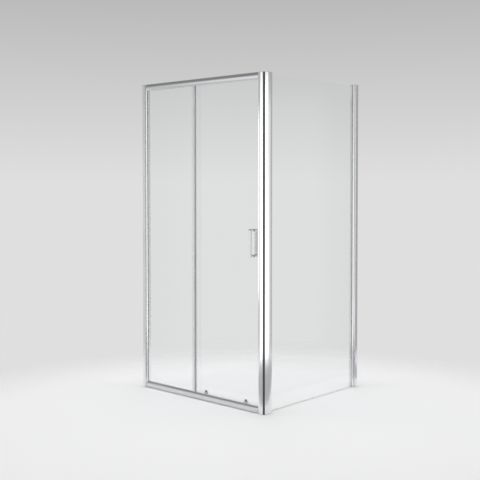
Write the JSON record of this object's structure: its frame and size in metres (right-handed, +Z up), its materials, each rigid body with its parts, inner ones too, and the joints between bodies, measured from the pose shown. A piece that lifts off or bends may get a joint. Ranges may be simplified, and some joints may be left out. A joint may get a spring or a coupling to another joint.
{
  "type": "shower cabin",
  "caption": "Rectangular corner shower cabin: a fixed pane and a sliding glass door on rollers in the front, a glass side panel, and polished wall, corner and rail profiles.",
  "frame": {"origin": "on the floor, at the centre of the enclosure's outline", "axes": "+X to the right along the front, +Y into the corner of the room, +Z up; the front with the door faces -Y"},
  "size_m": [1.01, 0.905, 1.9],
  "materials": {
    "polished_aluminium": "bright polished and anodised",
    "clear_glass": "clear toughened glass with polished edges",
    "clear_seal": "clear soft plastic",
    "dark_rubber": "matt",
    "chrome": "polished",
    "grey_plastic": "satin",
    "white_plastic": "moulded",
    "dark_plastic": "moulded",
    "stainless_steel": "plain stainless steel"
  },
  "bodies": {
    "frame": {"bottom_rail": "polished_aluminium", "cap_corner": "grey_plastic", "cap_wall_left": "grey_plastic", "cap_wall_side": "grey_plastic", "corner_profile": "polished_aluminium", "corner_strip": "dark_rubber", "door_stop_closed": "dark_rubber", "door_stop_open": "dark_rubber", "fixed_edge_strip": "clear_seal", "fixed_gasket_bottom": "clear_seal", "fixed_gasket_top": "clear_seal", "fixed_gasket_wall": "clear_seal", "fixed_glass": "clear_glass", "fixing_covers": "grey_plastic", "fixing_screws": "stainless_steel", "groove_filler_bottom": "grey_plastic", "groove_filler_top": "grey_plastic", "rail_plug_bottom_left": "white_plastic", "rail_plug_bottom_right": "white_plastic", "rail_plug_top_left": "white_plastic", "rail_plug_top_right": "white_plastic", "rail_screws": "stainless_steel", "side_bottom_seal": "clear_seal", "side_gasket_corner": "clear_seal", "side_gasket_wall": "clear_seal", "side_glass": "clear_glass", "strike_seal": "clear_seal", "top_rail": "polished_aluminium", "upright_left": "polished_aluminium", "upright_right": "polished_aluminium", "upright_side": "polished_aluminium", "wall_channel_left": "polished_aluminium", "wall_channel_side": "polished_aluminium"},
    "door": {"door_glass": "clear_glass", "door_rear_seal": "clear_seal", "door_magnet_seal": "clear_seal", "handle_outer": "chrome", "handle_inner": "chrome", "handle_studs": "stainless_steel", "handle_washers": "white_plastic", "guide_screws": "stainless_steel", "top_axle_left": "stainless_steel", "top_bush_left": "white_plastic", "top_nut_left": "chrome", "guide_housing_left": "white_plastic", "release_spring_left": "stainless_steel", "top_axle_right": "stainless_steel", "top_bush_right": "white_plastic", "top_nut_right": "chrome", "guide_housing_right": "white_plastic", "release_spring_right": "stainless_steel"},
    "top_wheel_left": {"top_wheel_left": "white_plastic"},
    "top_wheel_right": {"top_wheel_right": "white_plastic"},
    "release_left": {"release_button_left": "dark_plastic", "guide_axle_left": "stainless_steel"},
    "release_right": {"release_button_right": "dark_plastic", "guide_axle_right": "stainless_steel"},
    "guide_wheel_left": {"guide_wheel_left": "white_plastic"},
    "guide_wheel_right": {"guide_wheel_right": "white_plastic"}
  },
  "joints": [
    {"name": "door_slide", "type": "slide", "parent": "frame", "child": "door", "axis": [-1, 0, 0], "range_m": [0, 0.38]},
    {"name": "top_wheel_left_spin", "type": "hinge", "parent": "door", "child": "top_wheel_left", "pos_m": [0.023, -0.4245, 1.8823], "axis": [0, 1, 0], "continuous": true},
    {"name": "release_left_press", "type": "slide", "parent": "door", "child": "release_left", "axis": [0, 0, -1], "range_m": [0, 0.003], "stiffness_N_per_m": 600, "springref_m": -0.003, "deforming": ["release_spring_left"]},
    {"name": "guide_wheel_left_spin", "type": "hinge", "parent": "release_left", "child": "guide_wheel_left", "pos_m": [0.023, -0.4245, 0.0177], "axis": [0, 1, 0], "continuous": true},
    {"name": "top_wheel_right_spin", "type": "hinge", "parent": "door", "child": "top_wheel_right", "pos_m": [0.341, -0.4245, 1.8823], "axis": [0, 1, 0], "continuous": true},
    {"name": "release_right_press", "type": "slide", "parent": "door", "child": "release_right", "axis": [0, 0, -1], "range_m": [0, 0.003], "stiffness_N_per_m": 600, "springref_m": -0.003, "deforming": ["release_spring_right"]},
    {"name": "guide_wheel_right_spin", "type": "hinge", "parent": "release_right", "child": "guide_wheel_right", "pos_m": [0.341, -0.4245, 0.0177], "axis": [0, 1, 0], "continuous": true}
  ],
  "couplings": [
    {"joint": "top_wheel_left_spin", "follows": "door_slide", "rad_per_m": -125},
    {"joint": "guide_wheel_left_spin", "follows": "door_slide", "rad_per_m": 125},
    {"joint": "top_wheel_right_spin", "follows": "door_slide", "rad_per_m": -125},
    {"joint": "guide_wheel_right_spin", "follows": "door_slide", "rad_per_m": 125}
  ]
}
